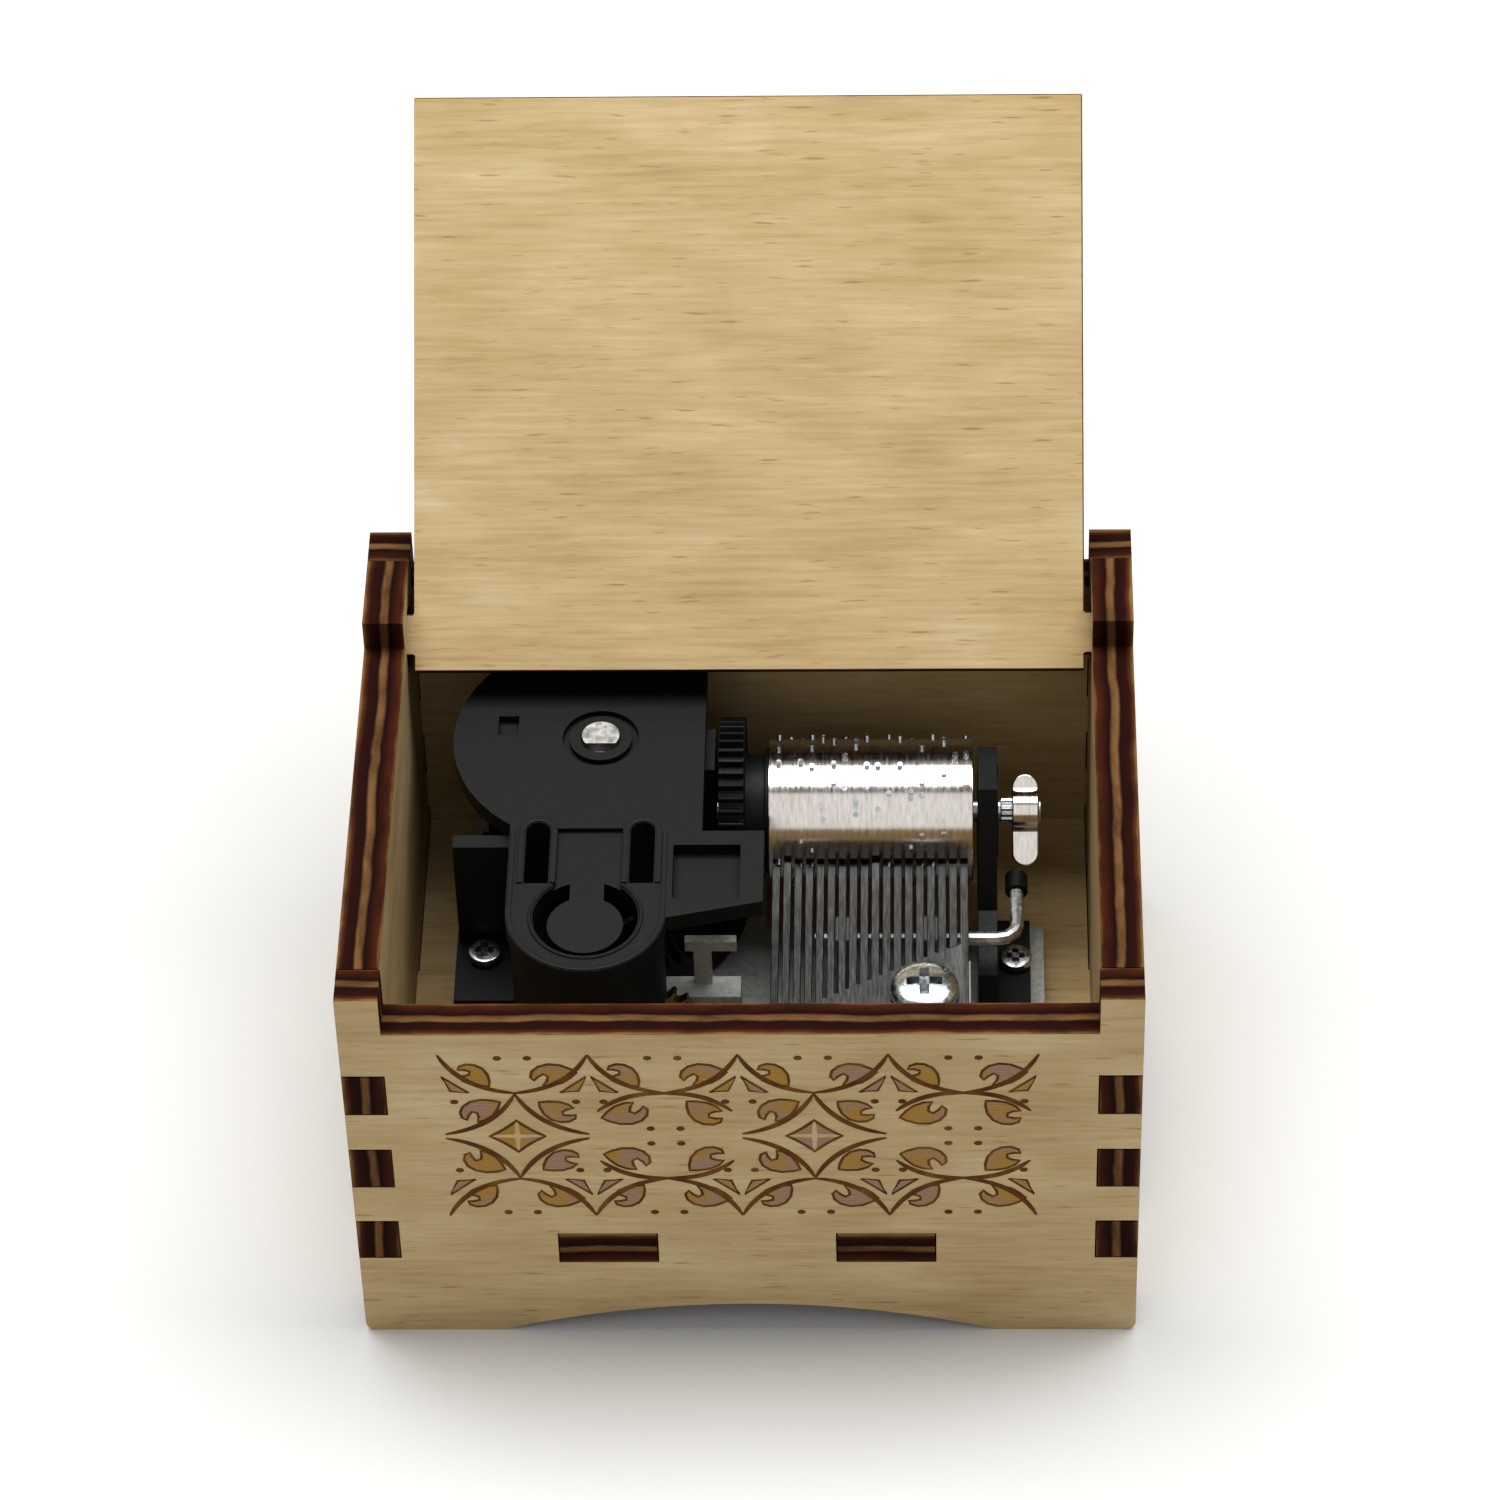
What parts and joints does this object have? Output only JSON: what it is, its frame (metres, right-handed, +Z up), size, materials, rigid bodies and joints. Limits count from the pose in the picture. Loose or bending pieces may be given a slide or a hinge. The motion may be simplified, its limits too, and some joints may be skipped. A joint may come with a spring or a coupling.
{
  "type": "wind up music box",
  "caption": "Plywood box with finger joints and a lid that tilts back, holding a key-wound movement whose pinned cylinder plucks a steel comb.",
  "frame": {"origin": "middle of the footprint on the table, with the lid open and leaning back", "axes": "+X to the right, +Y to the back (the lid's pivot side), +Z up; the decorated front panel faces -Y"},
  "size_m": [0.064, 0.0774, 0.0706],
  "materials": {
    "plywood": "laser-cut basswood plywood, unsealed",
    "black_plastic": "moulded, fine grain",
    "nickel": "bright nickel plate",
    "comb_steel": "ground, satin",
    "cast_zinc": "die-cast, matt grey",
    "spring_steel": "blued strip",
    "zinc_steel": "bright zinc plate",
    "brass": "turned"
  },
  "bodies": {
    "case": {"front_panel": "plywood", "back_panel": "plywood", "left_panel": "plywood", "right_panel": "plywood", "floor_panel": "plywood", "bedplate": "cast_zinc", "comb": "comb_steel", "comb_screw_1": "zinc_steel", "comb_screw_2": "zinc_steel", "mainspring": "spring_steel", "spring_drum": "black_plastic", "right_bracket": "black_plastic", "bracket_screw": "zinc_steel", "gear_housing": "black_plastic", "housing_screw": "zinc_steel", "axle_bridge": "cast_zinc", "train_post": "cast_zinc", "wire_holder_1": "cast_zinc", "wire_holder_2": "cast_zinc", "mounting_screw_1": "zinc_steel", "mounting_screw_2": "zinc_steel", "mounting_screw_3": "zinc_steel"},
    "lid": {"lid": "plywood"},
    "crown_wheel": {"crown_wheel": "black_plastic", "click_leaf": "spring_steel"},
    "winding_arbor": {"spring_arbor": "nickel", "ratchet_wheel": "brass", "winding_key": "nickel"},
    "cylinder": {"cylinder_sleeve": "nickel", "cylinder_gear": "black_plastic", "cylinder_end_cap": "black_plastic", "cylinder_shaft": "zinc_steel", "stop_dog": "nickel"},
    "governor_wheel": {"governor_axle": "zinc_steel", "worm_wheel": "brass"},
    "governor_worm": {"governor_worm": "zinc_steel", "governor_fan": "black_plastic"},
    "stop_wire": {"stop_wire": "zinc_steel", "stop_wire_tip": "black_plastic"}
  },
  "joints": [
    {"name": "lid_hinge", "type": "hinge", "parent": "case", "child": "lid", "pos_m": [0, 0.00466, 0.0385], "axis": [1, 0, 0], "range_deg": [0, 136.86]},
    {"name": "crown_spin", "type": "hinge", "parent": "case", "child": "crown_wheel", "pos_m": [-0.0123, -0.00384, 0.017], "axis": [0, 0, 1], "continuous": true},
    {"name": "winding_turn", "type": "hinge", "parent": "crown_wheel", "child": "winding_arbor", "pos_m": [-0.0123, -0.00384, 0.017], "axis": [0, 0, 1], "continuous": true},
    {"name": "cylinder_spin", "type": "hinge", "parent": "case", "child": "cylinder", "pos_m": [0.01, -0.00384, 0.0261], "axis": [1, 0, 0], "continuous": true},
    {"name": "governor_wheel_spin", "type": "hinge", "parent": "case", "child": "governor_wheel", "pos_m": [-0.0123, -0.00384, 0.02065], "axis": [0.2213, -0.9752, 0], "continuous": true},
    {"name": "worm_spin", "type": "hinge", "parent": "case", "child": "governor_worm", "pos_m": [-0.01285, -0.02384, 0.02], "axis": [0, 0, 1], "continuous": true},
    {"name": "stop_wire_swing", "type": "hinge", "parent": "case", "child": "stop_wire", "pos_m": [0.01, -0.01624, 0.0235], "axis": [1, 0, 0], "range_deg": [0, 8]}
  ],
  "couplings": [
    {"joint": "cylinder_spin", "follows": "crown_spin", "ratio": 1.4545},
    {"joint": "governor_wheel_spin", "follows": "crown_spin", "ratio": 5.3333},
    {"joint": "worm_spin", "follows": "crown_spin", "ratio": 42.667}
  ]
}
